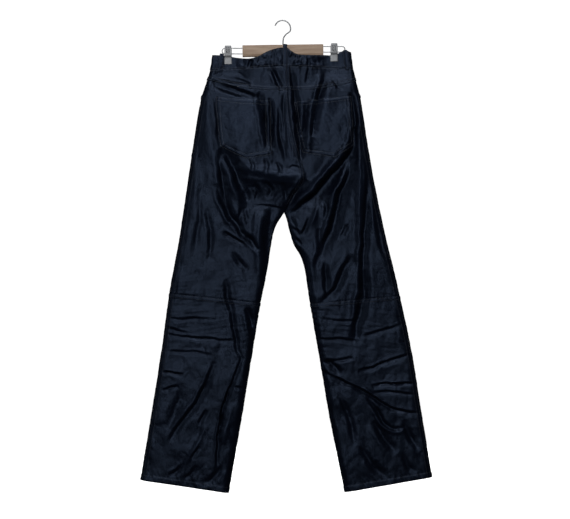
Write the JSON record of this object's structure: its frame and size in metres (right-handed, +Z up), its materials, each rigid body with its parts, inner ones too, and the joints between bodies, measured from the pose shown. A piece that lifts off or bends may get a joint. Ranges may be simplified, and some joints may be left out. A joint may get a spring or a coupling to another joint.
{
  "type": "leather trousers on a clip hanger",
  "caption": "Straight-leg leather trousers with back yoke, patch pockets and knee seams, hanging flat from a wooden clip hanger.",
  "frame": {"origin": "inner top of the hanger's hook, where a rail or a peg carries it", "axes": "+Z up, -Y out of the seat side of the trousers, +X towards the right leg as seen from the seat side"},
  "size_m": [0.729, 0.0534, 1.1824],
  "materials": {
    "leather": "semi-gloss",
    "thread": "matte",
    "wood": "satin",
    "steel": "chromed"
  },
  "bodies": {
    "root": {"waistband_back": "leather", "waistband_front_left": "leather", "yoke_left": "leather", "back_panel_left": "leather", "back_lower_leg_left": "leather", "front_panel_left": "leather", "front_lower_leg_left": "leather", "pocket_facing_left": "leather", "back_pocket_left": "leather", "waistband_front_right": "leather", "yoke_right": "leather", "back_panel_right": "leather", "back_lower_leg_right": "leather", "front_panel_right": "leather", "front_lower_leg_right": "leather", "pocket_facing_right": "leather", "back_pocket_right": "leather", "fly_flap": "leather", "belt_loop_back_left": "leather", "belt_loop_back_centre": "leather", "belt_loop_back_right": "leather", "belt_loop_front_left": "leather", "belt_loop_front_right": "leather", "waist_button": "steel", "hanger_hook": "steel", "wire_loop_left": "steel", "clip_spring_left": "steel", "clip_jaw_back_left": "steel", "clip_jaw_front_left": "steel", "wire_loop_right": "steel", "clip_spring_right": "steel", "clip_jaw_back_right": "steel", "clip_jaw_front_right": "steel", "hanger_bar": "wood"}
  },
  "joints": []
}
